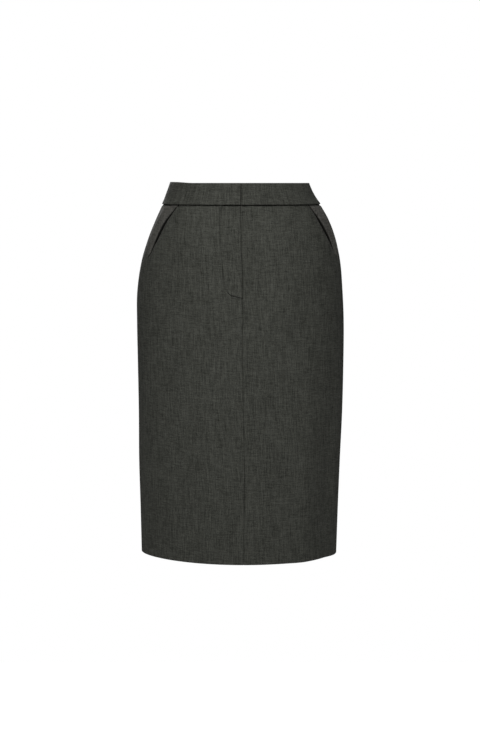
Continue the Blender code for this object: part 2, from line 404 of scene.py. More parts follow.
def creased(angle: Array, drop: Array) -> Array:
    """The height of the cloth's face with its soft folds, which run on over the seams.

    Args:
        angle: the angles, from -180 to 180 degrees.
        drop: the drops.

    Returns:
        The heights.
    """
    height = np.full_like(angle, NAP)
    for crease in CREASES:
        across = (angle - math.radians(crease.angle)) * CREASE_RADIUS
        down = drop - crease.drop
        lean = math.radians(crease.lean)
        along = down * math.cos(lean) + across * math.sin(lean)
        aside = across * math.cos(lean) - down * math.sin(lean)
        height += crease.height * bell(aside, crease.half_width) * bell(along, crease.half_length)
    return height


@dataclass
class Grid:
    """The points of one face of a piece before it is shaped, a row for each drop."""

    angle: Array
    drop: Array
    place: Array = field(init=False)
    normal: Array = field(init=False)
    along: Array = field(init=False)  # the distance round from the first column

    def __post_init__(self) -> None:
        """Works out the places, normals and distances."""
        self.place = FORM.place(self.angle, self.drop)
        self.normal = FORM.normal(self.angle, self.drop)
        hops = np.linalg.norm(np.diff(self.place, axis=1), axis=-1)
        self.along = np.concatenate([np.zeros((len(hops), 1)), np.cumsum(hops, axis=1)], axis=1)

    @classmethod
    def on_rows(cls, angle: Array, drop: Array) -> "Grid":
        """A grid from its angles and the drop of each row."""
        return cls(angle, np.repeat(drop[:, None], angle.shape[1], axis=1))

    def from_column(self, column: int) -> Array:
        """The signed distance round from a column, positive where the columns run on."""
        return self.along - self.along[:, column][:, None]

    def to_last(self) -> Array:
        """The distance round to the last column."""
        return self.along[:, -1:] - self.along


def sheet_mesh(
    name: str,
    grid: Grid,
    outer: Array,
    inner: Array,
    keep: Array | None = None,
    wrap_u: Array | None = None,
    painted_light_and_shade: dict[str, Array] | None = None,
) -> bpy.types.Object:
    """A closed sheet of cloth on a grid, with its cloth coordinates in metres as a UV map.

    Args:
        name: the piece's name.
        grid: the points on the form.
        outer: the height of the outer face over the form at each point.
        inner: the height of the inner face.
        keep: which cells the piece has, or None for all of them.
        wrap_u: the cloth's coordinate across the grain, or None for the distance round.
        painted_light_and_shade: painted shade in the pockets' mouths and a painted highlight at the
            side of the hip, each to its share at each point, or None for neither.

    Returns:
        The new object, linked to the scene.
    """
    rows, cols = grid.angle.shape
    keep = np.ones((rows - 1, cols - 1), bool) if keep is None else keep
    across = grid.along if wrap_u is None else wrap_u
    points = np.stack([grid.place + grid.normal * height[..., None] for height in (outer, inner)])
    points = points.reshape(-1, 3)
    cloth_uv = np.tile(np.stack([across, -grid.drop], axis=-1).reshape(-1, 2), (2, 1))
    number = np.arange(rows * cols).reshape(rows, cols)
    a, b = number[:-1, :-1][keep], number[1:, :-1][keep]
    c, d = number[1:, 1:][keep], number[:-1, 1:][keep]
    face_out = np.stack([a, b, c, d], axis=1)
    first = face_out[0]
    p = points[first]
    facing = np.dot(np.cross(p[1] - p[0], p[3] - p[0]), grid.normal.reshape(-1, 3)[first[0]])
    if facing < 0:
        face_out = face_out[:, ::-1]
    face_in = face_out[:, ::-1] + rows * cols
    edges = np.concatenate([face_out[:, [k, (k + 1) % 4]] for k in range(4)])
    present = set(map(tuple, edges.tolist()))
    rim = [(i, j) for i, j in present if (j, i) not in present]
    rim_faces = np.array([(j, i, i + rows * cols, j + rows * cols) for i, j in sorted(rim)])
    faces = np.concatenate([face_out, face_in, rim_faces])
    used = np.unique(faces)
    renumber = np.full(len(points), -1)
    renumber[used] = np.arange(len(used))
    piece = new_piece(name, points[used], renumber[faces], cloth_uv[used])
    for shade, values in (painted_light_and_shade or {}).items():
        layer = piece.data.attributes.new(shade, "FLOAT", "POINT")
        layer.data.foreach_set("value", np.tile(values.ravel(), 2)[used].astype(np.float32))
    return piece


def new_piece(name: str, points: Array, faces: Array, cloth_uv: Array) -> bpy.types.Object:
    """A piece with a cloth UV map, shaded smooth.

    Args:
        name: the piece's name.
        points: its points.
        faces: the numbers of each face's points.
        cloth_uv: the cloth coordinates of each point.

    Returns:
        The new object, linked to the scene.
    """
    mesh = bpy.data.meshes.new(name)
    mesh.from_pydata(points.tolist(), [], faces.tolist())
    layer = mesh.uv_layers.new(name="cloth")
    corners = np.empty(len(mesh.loops), np.int32)
    mesh.loops.foreach_get("vertex_index", corners)
    layer.data.foreach_set("uv", cloth_uv[corners].astype(np.float32).ravel())
    mesh.shade_smooth()
    piece = bpy.data.objects.new(name, mesh)
    bpy.context.scene.collection.objects.link(piece)
    return piece


# ---- materials ----
class Value:
    """A number that varies over a surface. Arithmetic on it adds Math nodes."""

    def __init__(self, maker: "Shader", socket: bpy.types.NodeSocket) -> None:
        """Wraps a socket of a material that is being made."""
        self.maker, self.socket = maker, socket

    def _math(self, operation: str, *values: "Value | float") -> "Value":
        """One Math node on the values."""
        node = self.maker.node("ShaderNodeMath", {"operation": operation}, dict(enumerate(values)))
        return Value(self.maker, node.outputs[0])

    def __add__(self, other: "Value | float") -> "Value":
        """self + other."""
        return self._math("ADD", self, other)

    def __radd__(self, other: float) -> "Value":
        """other + self."""
        return self._math("ADD", other, self)

    def __sub__(self, other: "Value | float") -> "Value":
        """self - other."""
        return self._math("SUBTRACT", self, other)

    def __rsub__(self, other: float) -> "Value":
        """other - self."""
        return self._math("SUBTRACT", other, self)

    def __mul__(self, other: "Value | float") -> "Value":
        """self * other."""
        return self._math("MULTIPLY", self, other)

    def __rmul__(self, other: float) -> "Value":
        """other * self."""
        return self._math("MULTIPLY", other, self)

    def sine(self) -> "Value":
        """The sine, of radians."""
        return self._math("SINE", self)

    def clamped(self) -> "Value":
        """The value held between 0 and 1."""
        return self._math("MINIMUM", self._math("MAXIMUM", self, 0.0), 1.0)


class Shader:
    """A material while its nodes are being added."""

    def __init__(self, name: str) -> None:
        """Starts a material that has only its Principled shader.

        Args:
            name: the material's name.
        """
        self.material = bpy.data.materials.new(name)
        self.material.use_nodes = True
        self.tree = self.material.node_tree
        self.principled = self.tree.nodes["Principled BSDF"]

    def node(self, kind: str, settings: dict, sockets: dict) -> bpy.types.Node:
        """Adds a node.

        Args:
            kind: the node's type.
            settings: attributes to set first.
            sockets: input name or number to its value, Value or output socket.

        Returns:
            The node.
        """
        made = self.tree.nodes.new(kind)
        for name, value in settings.items():
            setattr(made, name, value)
        for name, value in sockets.items():
            self.feed(made.inputs[name], value)
        return made

    def feed(self, socket: bpy.types.NodeSocket, value: object) -> None:
        """Links a socket, or sets its constant.

        Args:
            socket: the input socket.
            value: a Value or an output socket to link, or the constant.
        """
        if isinstance(value, Value):
            value = value.socket
        if isinstance(value, bpy.types.NodeSocket):
            self.tree.links.new(value, socket)
        else:
            socket.default_value = value

    def finish(self, looks: dict[str, object]) -> bpy.types.Material:
        """Feeds the Principled shader.

        Args:
            looks: a socket's name to what it is fed.

        Returns:
            The finished material.
        """
        for name, value in looks.items():
            self.feed(self.principled.inputs[name], value)
        return self.material

    def cloth_place(self) -> tuple[Value, Value]:
        """The cloth's own coordinates in metres, across the grain and along it."""
        uv = self.node("ShaderNodeUVMap", {"uv_map": "cloth"}, {}).outputs[0]
        parts = self.node("ShaderNodeSeparateXYZ", {}, {0: uv}).outputs
        return Value(self, parts[0]), Value(self, parts[1])

    def noise(self, across: Value, along: Value, seed: float, detail: float = 1.0) -> Value:
        """Soft random values about 0.5.

        Args:
            across: the place across the grain, in steps of the noise.
            along: the place along it.
            seed: the place on the third axis, halfway between two whole numbers.
            detail: how many finer layers are added.

        Returns:
            The noise.
        """
        place = self.node("ShaderNodeCombineXYZ", {}, {0: across, 1: along, 2: seed})
        made = self.node(
            "ShaderNodeTexNoise",
            {"noise_dimensions": "3D"},
            {"Vector": place.outputs[0], "Scale": 1.0, "Detail": detail, "Roughness": 0.5},
        )
        return Value(self, made.outputs[0])

    def blend(self, share: Value, low: object, high: object) -> bpy.types.NodeSocket:
        """A colour between two.

        Args:
            share: 0 for the first colour, 1 for the second.
            low: the first, as a colour's socket or its three numbers.
            high: the second.

        Returns:
            The colour's socket.
        """
        low, high = ((*end, 1.0) if isinstance(end, tuple) else end for end in (low, high))
        mixed = self.node("ShaderNodeMix", {"data_type": "RGBA"}, {"Factor": share, 6: low, 7: high})
        return mixed.outputs[2]

    def attribute(self, name: str) -> Value:
        """A number that the mesh itself carries."""
        return Value(self, self.node("ShaderNodeAttribute", {"attribute_name": name}, {}).outputs[2])

    def bump(self, height: Value, depth: float) -> bpy.types.NodeSocket:
        """A normal from a height, whose full range is a depth in metres."""
        sockets = {"Strength": 1.0, "Distance": depth, "Height": height}
        return self.node("ShaderNodeBump", {}, sockets).outputs[0]


@dataclass(frozen=True)
class WoolSuiting:
    """A fine two-tone worsted: light and dark yarns both ways, so that it looks crossed."""

    name: str
    dark: Colour = (0.0105, 0.0109, 0.0090)
    light: Colour = (0.0520, 0.0533, 0.0462)
    # painted highlight: lighter copies of the two yarn colours, for the side of the hip where the light
    # falls
    pale_dark: Colour = (0.0180, 0.0176, 0.0156)
    pale_light: Colour = (0.0735, 0.0715, 0.0645)
    # painted shade: a near-black colour for the gap in the pockets' mouths, where shade falls
    pocketing: Colour = (0.0035, 0.0035, 0.0030)
    roughness: float = 0.82
    rough_range: float = 0.10
    yarns: float = 1150.0  # yarns to the metre
    weft_yarns: float = 0.86  # as a share of those
    warp_mark: float = 0.0006  # the width of a darker or lighter run of yarns
    warp_run: float = 0.016
    weft_mark: float = 0.0007
    weft_run: float = 0.009
    stagger: float = 0.618  # how far each run starts past the one beside it, as a share of a run
    flecks: tuple[float, float] = (950.0, 900.0)  # to the metre, across and along
    clouds: tuple[float, float] = (26.0, 15.0)
    contrast: float = 1.60  # of the runs and flecks, whose shares of the tone come next
    warp_share: float = 0.95
    weft_share: float = 0.75
    fleck_share: float = 0.50
    cloud_share: float = 0.16
    yarn_share: float = 0.10
    relief: float = 0.00022

    def make(self) -> bpy.types.Material:
        """Builds the material.

        Returns:
            The material.
        """
        shader = Shader(self.name)
        across, along = shader.cloth_place()
        columns, rows = across * (1 / self.warp_mark), along * (1 / self.weft_mark)
        warp = shader.noise(columns, along * (1 / self.warp_run) + columns * self.stagger, 0.5)
        weft = shader.noise(across * (1 / self.weft_run) + rows * self.stagger, rows, 7.5)
        fleck = shader.noise(across * self.flecks[0], along * self.flecks[1], 3.5, 0.0)
        cloud = shader.noise(across * self.clouds[0], along * self.clouds[1], 11.5)
        wave = self.yarns * 2 * math.pi
        crossing = (across * wave).sine() * (along * (wave * self.weft_yarns)).sine()
        tone = (
            0.5
            + (warp - 0.5) * (self.warp_share * self.contrast)
            + (weft - 0.5) * (self.weft_share * self.contrast)
            + (fleck - 0.5) * (self.fleck_share * self.contrast)
            + (cloud - 0.5) * self.cloud_share
            + crossing * self.yarn_share
        ).clamped()
        plain = shader.blend(tone, self.dark, self.light)
        # painted highlight: the lighter colours, blended in by the mesh's share of painted light
        pale = shader.blend(tone, self.pale_dark, self.pale_light)
        colour = shader.blend(shader.attribute("paleness"), plain, pale)
        relief = crossing * 0.25 + (warp - 0.5) * 0.7 + (weft - 0.5) * 0.7 + 0.5
        looks = {
            # painted shade: in the open mouths the bearers' colour turns near-black, standing in for
            # the shadow in the gap
            "Base Color": shader.blend(shader.attribute("pocketing"), colour, self.pocketing),
            "Roughness": (self.roughness - self.rough_range / 2) + fleck * self.rough_range,
            "Normal": shader.bump(relief, self.relief),
            "Specular IOR Level": 0.03,
            "Sheen Weight": 0.01,
            "Sheen Roughness": 0.45,
        }
        return shader.finish(looks)


@dataclass(frozen=True)
class Thread:
    """Spun thread in the cloth's own tone."""

    name: str = "suiting_thread"
    dark: Colour = (0.008, 0.008, 0.007)
    light: Colour = (0.018, 0.018, 0.016)
    twists: float = 9000.0  # radians to the metre

    def make(self) -> bpy.types.Material:
        """Builds the material.

        Returns:
            The material.
        """
        shader = Shader(self.name)
        across, along = shader.cloth_place()
        twist = ((across + along) * self.twists).sine() * 0.5 + 0.5
        looks = {
            "Base Color": shader.blend(twist, self.dark, self.light),
            "Roughness": twist * 0.1 + 0.6,
            "Specular IOR Level": 0.25,
        }
        return shader.finish(looks)


@dataclass(frozen=True)
class StudioFloor:
    """A plain pale floor that shines a little, so that it reads as paper lit from below."""

    name: str = "studio_floor"
    colour: tuple[float, float, float, float] = (0.90, 0.90, 0.90, 1.0)
    roughness: float = 0.9
    glow: float = 0.88

    def make(self) -> bpy.types.Material:
        """Builds the material.

        Returns:
            The material.
        """
        looks = {
            "Base Color": self.colour,
            "Roughness": self.roughness,
            "Specular IOR Level": 0.0,
            "Emission Color": WHITE,
            "Emission Strength": self.glow,
        }
        return Shader(self.name).finish(looks)


# ---- the pieces ----
def panel_rows(*marks: tuple[float, float]) -> Array:
    """The drops of a panel's rows, closer at its top, near marks and at its hem.

    Args:
        marks: pairs of a drop and how far on each side the rows lie close.

    Returns:
        The drops in order.
    """
    rows = list(PANEL_TOP + steps((9 * MM, 0.45 * MM), (18 * MM, 1.2 * MM)))
    coarse = list(between(rows[-1], LENGTH - 3 * MM, 2.9 * MM)[1:])
    rows += coarse + list(LENGTH - steps((1.2 * MM, 0.2 * MM), (3 * MM, 0.6 * MM))[:-1])
    turn_top = LENGTH - HEM_TURN
    rows += [turn_top - 0.4 * MM, turn_top + 0.4 * MM]
    for drop, reach in marks:
        rows = [r for r in rows if abs(r - drop) > reach]
        rows += list(between(drop - reach, drop + reach, 0.5 * MM))
    rows = sorted(rows)
    return np.array([r for k, r in enumerate(rows) if k == 0 or r - rows[k - 1] > 0.08 * MM])


def paleness(drop: Array) -> Array:
    """How much painted highlight the cloth at the side of the hip takes at a drop, from 0 to 1."""
    return smooth((PAINTED_LIGHT_END - drop) / PAINTED_LIGHT_RUN)


def beside_mouth(drop: Array) -> Array:
    """1 beside the pocket's mouth, fading out below it."""
    return fade(drop - MOUTH_END, 8 * MM)


def top_ditch(grid: Grid) -> Array:
    """How far a panel goes in at the waist seam, most at the front. Its turning lies in the band.

    Args:
        grid: the panel's points.

    Returns:
        The depth at each point.
    """
    depth = 1.3 * MM + 1.7 * MM * np.maximum(0.0, np.cos(grid.angle)) ** 1.5
    in_band = smooth((BAND_DEPTH - 0.8 * MM - grid.drop) / (2.4 * MM))
    below = fade(grid.drop - BAND_DEPTH - 0.1 * MM, 2.4 * MM)
    return np.minimum(below, 1 - in_band) * depth + 0.4 * MM * in_band


def inner_face(outer: Array, edge_distance: Array, drop: Array) -> Array:
    """The height of a panel's inner face: one layer, with turnings at its seams and hem.

    Args:
        outer: the outer face's height.
        edge_distance: the distance to the nearest seam.
        drop: the drops.

    Returns:
        The inner face's height.
    """
    turned = 0.8 * MM * ((edge_distance < ALLOWANCE) & (drop > BAND_DEPTH + 1.0 * MM))
    hem = 0.9 * MM * (drop > LENGTH - HEM_TURN)
    rise = rolled(LENGTH - drop, HEM_ROLL)
    inner = np.minimum(outer, 0.0) * 0.4 + np.maximum(outer, 0.0) - CLOTH - turned - hem + rise
    return np.minimum(inner, outer - 0.45 * MM)


class Sheet:
    """A piece of cloth that stands for one solid. Each kind of piece builds its own mesh."""

    flat: tuple[float, float]  # the width and length of the cloth it is cut from
    slot: Slot = Slot.SUITING
    held: str = "hung"
    rests_on: tuple[str, ...] = ("waistband_cloth",)

    @property
    def node(self) -> str:
        """The solid that it stands for."""
        raise NotImplementedError

    def build(self) -> bpy.types.Object:
        """Makes the mesh."""
        raise NotImplementedError

    def make(self, cloth: bpy.types.Material) -> bpy.types.Object:
        """Args:
            cloth: its material.

        Returns:
            The piece.
        """
        piece = self.build()
        piece.data.materials.append(cloth)
        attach(piece, BODY)
        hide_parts(self.node)
        faces = np.empty(len(piece.data.polygons))
        piece.data.polygons.foreach_get("area", faces)
        list(self.rests_on)
        return piece


@dataclass(frozen=True)
class FlyGroove:
    """The groove that the stitching draws along the fly's edge, deeper along its foot."""

    depth: float = 0.85 * MM
    foot_depth: float = 0.85 * MM  # how much deeper the foot is
    half_width: float = 0.66 * MM
    lip: float = 0.10 * MM  # the low ridge on both sides
    lip_place: float = 2.2 * MM
    lip_width: float = 1.3 * MM
    puff: float = 0.95 * MM  # how far the cloth stands out above the foot
    puff_reach: float = 9 * MM
    foot_from: float = 0.160
    foot_run: float = 0.012
    area: tuple[float, float] = (0.045, FLY_END + 0.012)  # where any of it lies: across, down
    cuts: int = 7
    rounds: int = 6

    def columns(self) -> Array:
        """The distances of a mesh's columns from the fly's line."""
        return both_ways(0.25, 0.5, 0.8, 1.2, 1.8) * MM

    def height(self, from_centre: Array, drop: Array) -> Array:
        """The height that the groove gives the front.

        Args:
            from_centre: the distances from the centre front.
            drop: the drops.

        Returns:
            The heights, mostly below 0.
        """
        fine = fly_line(self.cuts, self.rounds)
        near = (from_centre < self.area[0]) & (drop < self.area[1])
        points = np.stack([from_centre[near], drop[near]], axis=1)
        start = fine[:-1]
        leg = fine[1:] - start
        offset = points[:, None, :] - start[None]
        t = np.clip((offset * leg).sum(-1) / (leg**2).sum(-1), 0, 1)
        gaps = np.linalg.norm(offset - t[..., None] * leg, axis=-1)
        nearest = gaps.argmin(axis=1)
        distance = gaps[np.arange(len(points)), nearest]
        foot = smooth((start[nearest, 1] - self.foot_from) / self.foot_run)
        below = smooth((points[:, 1] - start[nearest, 1]) / (0.9 * MM) + 0.5)
        height = np.zeros_like(from_centre)
        height[near] = (
            self.lip * bell(distance - self.lip_place, self.lip_width)
            - (self.depth + self.foot_depth * foot) * bell(distance, self.half_width)
            + self.puff * foot * (1 - below) * fade(distance, self.puff_reach)
        )
        return height


@dataclass
class Front(Sheet):
    """One front, from the centre front to the pocket's slanted edge and the side seam."""

    side: Side
    flat: tuple[float, float] = (0.262, 0.588)
    lap: float = 34 * MM  # how far the left front goes on under the fly
    ease: float = 9 * MM  # how far the left front takes to come up from under the fly
    crevice: float = 1.8 * MM  # how deep it lies right at the fly's edge
    crevice_width: float = 0.8 * MM
    lift: float = 1.0 * MM  # how far the cloth stands out beside the pocket's mouth
    lift_reach: float = 45 * MM
    roll_in: float = 3.6 * MM  # how far the mouth's edge turns in
    roll_reach: float = 16 * MM
    mouth_roll: float = 0.6 * MM
    fullness: float = 0.25 * MM  # of the fly, beside the centre front
    fly_run: float = 27 * MM  # the stretch of columns from the centre front to the fly's line
    middle_columns: int = 56
    lap_columns: int = 14
    groove: FlyGroove = FlyGroove()

    @property
    def node(self) -> str:
        """The solid that it stands for."""
        return self.side.node("front")

    def columns(self, drop: Array) -> Array:
        """The angles of each row's points, from the centre front outwards.

        Args:
            drop: the drop of each row.

        Returns:
            The angles, a row for each drop.
        """
        tall = drop[:, None]
        outer_edge = np.minimum(pocket_edge(self.side, tall), self.side.seam)
        if self.side is Side.RIGHT:
            fly = np.interp(tall, [d for _, d in FLY_STRAIGHT], [s for s, _ in FLY_STRAIGHT])
            start = steps((1.0 * MM, 0.2 * MM), (3 * MM, 0.5 * MM), (self.fly_run, 1.0 * MM))
            before = start / self.fly_run * (fly - 2.6 * MM)
            near = np.concatenate([before, fly + self.groove.columns()], axis=1)
        else:
            near = steps((1.0 * MM, 0.2 * MM), (3 * MM, 0.5 * MM), (14 * MM, 1.2 * MM))
        first = FORM.turn(near, 0.0, tall)
        last = outer_edge - FORM.turn(seam_steps()[::-1], outer_edge, tall)
        angles = [first, fill(first, last, self.middle_columns), last]
        if self.side is Side.LEFT:
            under = np.linspace(self.lap, UNDER_EDGE, self.lap_columns)
            angles.insert(0, -FORM.turn(under, 0.0, tall))
        return self.side.value * np.concatenate(angles, axis=1)

    def build(self) -> bpy.types.Object:
        """Makes the mesh.

        Returns:
            The piece.
        """
        right = self.side is Side.RIGHT
        marks = ((FLY_FOOT, 7.5 * MM),) if right else ()
        drop = panel_rows(*marks, (MOUTH_END, 2 * MM))
        grid = Grid.on_rows(self.columns(drop), drop)
        first = 0 if right else self.lap_columns
        centre, outwards = grid.from_column(first), grid.to_last()
        open_mouth = mouth(grid.drop)
        shut = 1 - smooth(open_mouth * 8)
        outer = creased(grid.angle, grid.drop) - top_ditch(grid) - rolled(LENGTH - grid.drop, HEM_ROLL)
        outer += self.lift * open_mouth * fade(outwards, self.lift_reach)
        outer -= self.roll_in * open_mouth * np.clip(1 - outwards / self.roll_reach, 0, 1) ** 2
        outer -= rolled(outwards, SIDE_ROLL) * shut + rolled(outwards, self.mouth_roll) * (1 - shut)
        keep = None
        edge = np.minimum(centre, outwards)
        if right:
            outer += self.groove.height(centre, grid.drop) - rolled(centre, SEAM_ROLL)
            in_fly = fade(grid.drop - FLY_END, 6 * MM)
            outer += self.fullness * fade(centre - 2 * MM, 8 * MM) * in_fly
        else:
            in_fly = fade(grid.drop - FLY_END + 2 * MM, 8 * MM)
            dip = (CLOTH + 0.4 * MM) * fade(centre, self.ease)
            dip += self.crevice * bell(centre, self.crevice_width)
            outer -= in_fly * dip + (1 - in_fly) * rolled(centre, SEAM_ROLL)
            on_panel = np.arange(grid.drop.shape[1] - 1) >= first
            keep = on_panel | (grid.drop[1:, 1:] < FLY_END - 1 * MM)
            edge = np.where(centre < 0, 2 * ALLOWANCE, edge)
        inner = inner_face(outer, edge, grid.drop)
        return sheet_mesh(f"{self.node}_cloth", grid, outer, inner, keep, centre * self.side.value)


@dataclass
class PocketBearer(Sheet):
    """The corner of the hip behind a pocket's mouth. It sinks in where the mouth stands open."""

    side: Side
    flat: tuple[float, float] = (0.105, 0.138)
    under: float = 28 * MM  # how far it goes on under the front
    tuck: float = CLOTH + 0.2 * MM  # how deep it lies there
    slit: float = 1.6 * MM  # how deep it lies right beside the front's edge
    slit_reach: float = 1.6 * MM
    sink: float = 7.2 * MM  # how deep it lies in the open mouth
    floor_end: float = 1.5 * MM  # where the deep part ends, past the front's edge
    wall: float = 6.5 * MM  # how far the cloth takes to come up again
    slope: float = 1.0 * MM  # what is left of the depth after that
    slope_reach: float = 16 * MM
    swell: float = 2.3 * MM  # the soft ridge that it comes up to
    crest: float = 0.54  # the ridge's place and spread, as shares of what shows
    rise_spread: float = 0.12
    fall_spread: float = 0.26
    dark: float = 4.6 * MM  # how far the painted shade in the open mouth reaches past the front's edge
    edge_columns: int = 14
    grain_columns: int = 40
    slot = Slot.BEHIND_POCKET

    @property
    def node(self) -> str:
        """The solid that it stands for."""
        return self.side.node("pocket_bearer")

    @property
    def rests_on(self) -> tuple[str, ...]:
        """The band that it hangs from and the front that it lies under."""
        return ("waistband_cloth", f"{self.side.node('front')}_cloth")

    def columns(self, tall: Array) -> Array:
        """The angles of each row's points, from under the front to the side seam.

        Args:
            tall: the drop of each row, as a column.

        Returns:
            The angles, a row for each drop.
        """
        seam, close, bend = self.side.seam, 0.4, 1.15
        edge = np.minimum(pocket_edge(self.side, tall), seam - 0.004)
        hidden = np.linspace(self.under, UNDER_EDGE, self.edge_columns)
        share = [np.linspace(0, close, 26)[:-1] ** bend, np.linspace(close**bend, 0.96, 20)]
        share = np.concatenate([*share, [0.975, 0.985, 0.992, 0.997, 1.0]])
        shown = edge + (seam - edge) * share
        return self.side.value * np.concatenate([edge - FORM.turn(hidden, edge, tall), shown], axis=1)

    def depth(self, drop: Array, past: Array) -> Array:
        """How far the bearer lies in, behind the front's edge and in the open mouth.

        Args:
            drop: the drops.
            past: the distance past the front's edge.

        Returns:
            The depths.
        """
        tucked = np.where(past < 0, self.tuck, 0)
        shut = np.where(past < 0, self.tuck, rolled(np.maximum(past, 0)))
        shut += self.slit * beside_mouth(drop) * fade(past - 0.4 * MM, self.slit_reach)
        deep = self.sink * (1 - smooth((past - self.floor_end) / self.wall))
        deep += self.slope * fade(past, self.slope_reach)
        wide_open = mouth(drop)
        merge = smooth(wide_open * 4)
        return shut * (1 - merge) + np.maximum(deep * wide_open, tucked) * merge

    def build(self) -> bpy.types.Object:
        """Makes the mesh.

        Returns:
            The piece.
        """
        top = PANEL_TOP + steps((9 * MM, 0.45 * MM), (14 * MM, 1.2 * MM))
        rest = between(PANEL_TOP + 15 * MM, POCKET_END + 4 * MM, 1.5 * MM)
        drop = np.concatenate([top, rest])
        grid = Grid.on_rows(self.columns(drop[:, None]), drop)
        past, to_seam = grid.from_column(self.edge_columns), grid.to_last()
        width = to_seam[:, self.edge_columns][:, None]
        wide_open = mouth(grid.drop)
        outer = creased(grid.angle, grid.drop) - top_ditch(grid) - rolled(to_seam, SIDE_ROLL)
        outer -= self.depth(grid.drop, past)
        off_crest = past - self.crest * width
        spread = np.where(off_crest < 0, self.rise_spread, self.fall_spread) * width
        outer += self.swell * wide_open * bell(off_crest, spread)
        inner = inner_face(outer, np.where(past < 0, 2 * ALLOWANCE, to_seam), grid.drop)
        inner = np.minimum(inner, outer - CLOTH)
        # painted shade: near-black over the strip past the front's edge that shows in the open mouth
        painted_shade_share = fade((past - 2.0 * MM - self.dark * wide_open) / MM + 0.5, 1.0)
        painted_light_and_shade = {
            "pocketing": painted_shade_share * beside_mouth(grid.drop),
            # painted highlight at the side of the hip, down to half towards the side seam
            "paleness": paleness(grid.drop) * (1 - 0.5 * smooth((past / width - 0.6) / 0.4)),
        }
        way = grid.angle[:, :1] * np.linspace(0, 1, self.grain_columns)
        across = (Grid.on_rows(way, drop).along[:, -1:] + grid.along) * self.side.value
        return sheet_mesh(f"{self.node}_cloth", grid, outer, inner, None, across, painted_light_and_shade)


@dataclass
class Back(Sheet):
    """One back, from the side seam to the centre back, with its dart and its side of the vent."""

    side: Side
    flat: tuple[float, float] = (0.275, 0.588)
    lap: float = 40 * MM  # how far the right back goes on under the vent
    ease: float = 9 * MM  # how far the right back takes to go under it
    dart_place: float = 0.5  # as a share of the way from the side seam
    dart_depth: float = 1.9 * MM
    dart_width: float = 0.95 * MM
    dimple: float = 0.6 * MM  # the soft hollow at the dart's end
    dimple_width: float = 8 * MM
    dimple_length: float = 12 * MM
    flare: float = 1.0 * MM  # how far the vent's free edge stands out at the hem
    slant: float = 0.45  # of the vent's stitched top, down from the centre
    slant_depth: float = 0.50 * MM
    slant_width: float = 0.60 * MM
    pale_reach: float = 45 * MM
    middle_columns: int = 29  # on each side of the dart
    lap_columns: int = 16

    @property
    def node(self) -> str:
        """The solid that it stands for."""
        return self.side.node("back")

    def columns(self, tall: Array) -> tuple[Array, int]:
        """The angles of each row's points, from the side seam to the centre back and the lap.

        Args:
            tall: the drop of each row, as a column.

        Returns:
            The angles, a row for each drop, and the number of the dart's column.
        """
        seam, near = self.side.seam, seam_steps()
        dart = seam + (math.pi - seam) * self.dart_place
        by_dart = both_ways(0.3, 0.6, 1.0, 1.6, 2.4) * MM
        first = seam + FORM.turn(near, seam, tall)
        pinch = dart + FORM.turn(by_dart, dart, tall)
        last = math.pi - FORM.turn(near[::-1], math.pi, tall)
        before, after = fill(first, pinch, self.middle_columns), fill(pinch, last, self.middle_columns)
        angles = [first, before, pinch, after, last]
        if self.side is Side.RIGHT:
            under = np.linspace(UNDER_EDGE, self.lap, self.lap_columns)
            angles.append(math.pi + FORM.turn(under, math.pi, tall))
        dart_column = len(near) + self.middle_columns + len(by_dart) // 2
        return self.side.value * np.concatenate(angles, axis=1), dart_column

    def build(self) -> bpy.types.Object:
        """Makes the mesh.

        Returns:
            The piece.
        """
        drop = panel_rows((VENT_TOP, 3 * MM), (DART_END, 2 * MM))
        angle, dart_column = self.columns(drop[:, None])
        grid = Grid.on_rows(angle, drop)
        last = angle.shape[1] - 1 - (self.lap_columns if self.side is Side.RIGHT else 0)
        centre, from_dart = -grid.from_column(last), grid.from_column(dart_column)
        wrapped = (grid.angle + math.pi) % (2 * math.pi) - math.pi
        outer = creased(wrapped, grid.drop) - top_ditch(grid)
        outer -= rolled(LENGTH - grid.drop, HEM_ROLL) + rolled(grid.along, SIDE_ROLL)
        taper = smooth((DART_END - grid.drop) / 0.03)
        outer -= self.dart_depth * taper * bell(from_dart, self.dart_width)
        hollow = bell(grid.drop - DART_END, self.dimple_length) * bell(from_dart, self.dimple_width)
        outer -= self.dimple * hollow
        keep = None
        edge = np.minimum(centre, grid.along)
        if self.side is Side.LEFT:
            outer -= rolled(centre, SEAM_ROLL)
            outer += self.flare * smooth((grid.drop - VENT_TOP) / 0.14) * fade(centre, 32 * MM)
            slant = VENT_TOP - 3 * MM + np.maximum(centre, 0) * self.slant
            outer -= self.slant_depth * bell(grid.drop - slant, self.slant_width) * (centre < self.lap)
        else:
            in_vent = smooth((grid.drop - VENT_TOP + 10 * MM) / (8 * MM))
            dip = (2 * CLOTH + 0.9 * MM) * fade(centre, self.ease)
            outer -= in_vent * dip + (1 - in_vent) * rolled(np.maximum(centre, 0), SEAM_ROLL)
            on_panel = np.arange(angle.shape[1] - 1) < last
            keep = on_panel | (grid.drop[:-1, 1:] > VENT_TOP)
            edge = np.where(centre < 0, 2 * ALLOWANCE, edge)
        inner = inner_face(outer, edge, grid.drop)
        # painted highlight: half strength at the side seam, fading out towards the centre back
        pale = 0.5 * paleness(grid.drop) * fade(grid.along, self.pale_reach)
        across = -centre * self.side.value + 0.5
        return sheet_mesh(f"{self.node}_cloth", grid, outer, inner, keep, across, {"paleness": pale})


